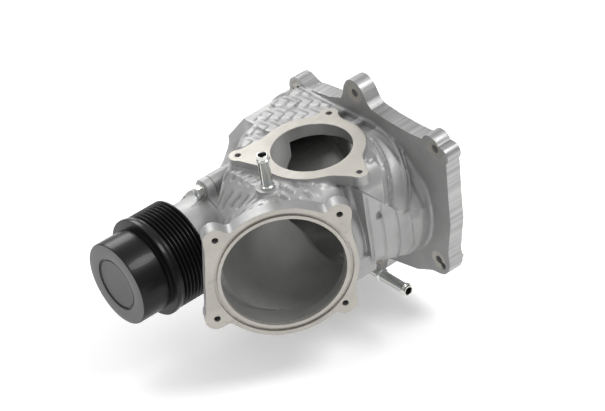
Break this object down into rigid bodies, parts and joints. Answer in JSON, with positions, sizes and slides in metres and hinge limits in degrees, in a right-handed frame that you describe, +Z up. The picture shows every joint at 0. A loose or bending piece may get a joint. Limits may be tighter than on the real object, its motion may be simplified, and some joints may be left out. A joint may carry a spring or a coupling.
{
  "type": "supercharger inlet and drive housing",
  "caption": "Hollow cast housing with a round throttle inlet, a top port, a belt-driven input shaft and a wide rear mounting flange.",
  "frame": {"origin": "on the drive axis, in the plane of the rear flange's mounting face", "axes": "+Y along the drive axis towards the rotor case, +Z up towards the top port, pulley at -Y, throttle inlet facing between +X and -Y"},
  "size_m": [0.2589, 0.24, 0.1991],
  "materials": {
    "cast_aluminium": "fine cast skin, machined on its faces",
    "nose_aluminium": "satin turned",
    "plated_steel": "bright zinc plate",
    "seal_rubber": "matt",
    "bearing_steel": "ground",
    "spring_steel": "oiled",
    "shaft_steel": "ground",
    "black_pulley": "gloss black, hard-coated",
    "pulley_face": "fine turned grey",
    "cage_nylon": "natural nylon"
  },
  "bodies": {
    "housing": {"inlet_housing": "cast_aluminium", "drive_nose": "nose_aluminium", "nose_bolts": "plated_steel", "nose_o_ring": "seal_rubber", "top_nipple": "plated_steel", "side_tube": "plated_steel", "rear_dowels": "bearing_steel", "front_outer_ring": "bearing_steel", "rear_outer_ring": "bearing_steel", "nose_circlip": "spring_steel", "rear_circlip": "spring_steel", "nose_seal": "seal_rubber", "rear_seal": "seal_rubber"},
    "drive": {"input_shaft": "shaft_steel", "belt_pulley": "black_pulley", "pulley_cap": "pulley_face", "pulley_nut": "plated_steel", "pulley_washer": "plated_steel", "pulley_key": "shaft_steel", "bearing_spacer": "shaft_steel", "coupling_hub": "shaft_steel", "coupling_pins": "bearing_steel", "front_inner_ring": "bearing_steel", "rear_inner_ring": "bearing_steel"},
    "front_ball_set": {"front_balls": "bearing_steel", "front_cage": "cage_nylon"},
    "rear_ball_set": {"rear_balls": "bearing_steel", "rear_cage": "cage_nylon"}
  },
  "joints": [
    {"name": "drive_spin", "type": "hinge", "parent": "housing", "child": "drive", "pos_m": [0, -0.1, 0], "axis": [0, 1, 0], "continuous": true},
    {"name": "front_balls_spin", "type": "hinge", "parent": "housing", "child": "front_ball_set", "pos_m": [0, -0.158, 0], "axis": [0, 1, 0], "continuous": true},
    {"name": "rear_balls_spin", "type": "hinge", "parent": "housing", "child": "rear_ball_set", "pos_m": [0, -0.026, 0], "axis": [0, 1, 0], "continuous": true}
  ],
  "couplings": [
    {"joint": "front_balls_spin", "follows": "drive_spin", "ratio": 0.3976},
    {"joint": "rear_balls_spin", "follows": "drive_spin", "ratio": 0.3976}
  ]
}
